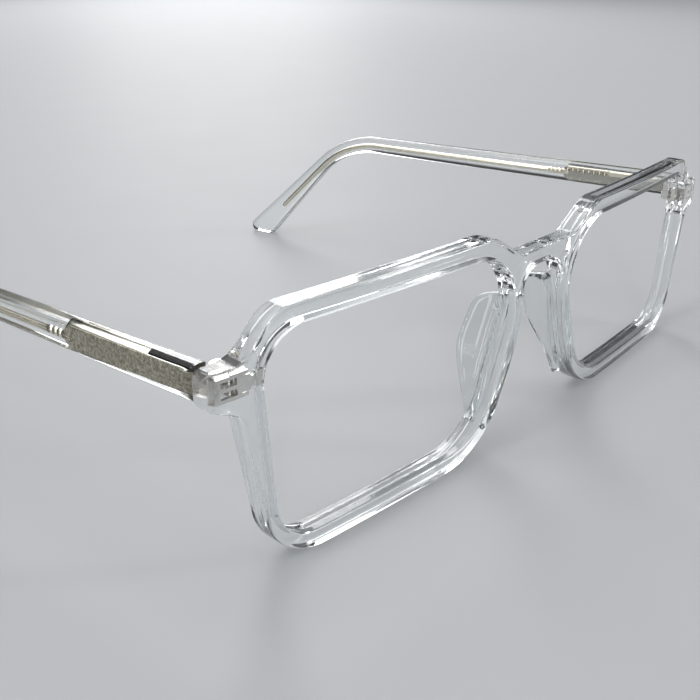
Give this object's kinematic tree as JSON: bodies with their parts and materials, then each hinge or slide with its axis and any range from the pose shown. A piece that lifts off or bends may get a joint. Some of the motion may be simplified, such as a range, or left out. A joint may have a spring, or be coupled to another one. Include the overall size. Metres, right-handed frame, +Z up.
{
  "type": "eyeglasses frame",
  "caption": "Clear acetate full-rim eyeglasses frame with a squared front, nose pads and metal-cored temples that fold on barrel hinges.",
  "frame": {"origin": "on the table plane that the rims and the temple tips stand on, in the symmetry plane, under the front face of the bridge", "axes": "+X across the face (the wearer's left-hand side), +Y back along the temples, +Z up"},
  "size_m": [0.1567, 0.1324, 0.04],
  "materials": {
    "clear_acetate_front": "polished crystal-clear acetate",
    "clear_acetate_pads": "polished crystal-clear acetate",
    "clear_acetate_temples": "polished crystal-clear acetate",
    "core_metal": "nickel silver, with a fine sandblasted plate and a bright drawn wire",
    "hinge_metal": "bright nickel silver",
    "screw_steel": "bright stainless steel"
  },
  "bodies": {
    "front": {"front": "clear_acetate_front", "right_nose_pad": "clear_acetate_pads", "left_nose_pad": "clear_acetate_pads", "right_hinge_front_leaf": "hinge_metal", "left_hinge_front_leaf": "hinge_metal", "right_hinge_screw": "screw_steel", "left_hinge_screw": "screw_steel"},
    "right_temple": {"right_temple": "clear_acetate_temples", "right_temple_core": "core_metal", "right_hinge_temple_leaf": "hinge_metal"},
    "left_temple": {"left_temple": "clear_acetate_temples", "left_temple_core": "core_metal", "left_hinge_temple_leaf": "hinge_metal"}
  },
  "joints": [
    {"name": "right_temple_fold", "type": "hinge", "parent": "front", "child": "right_temple", "pos_m": [-0.0666, 0.0086, 0.03075], "axis": [0, 0, -1], "range_deg": [0, 96]},
    {"name": "left_temple_fold", "type": "hinge", "parent": "front", "child": "left_temple", "pos_m": [0.0666, 0.0086, 0.03075], "axis": [0, 0, 1], "range_deg": [-16.8, 72]}
  ]
}
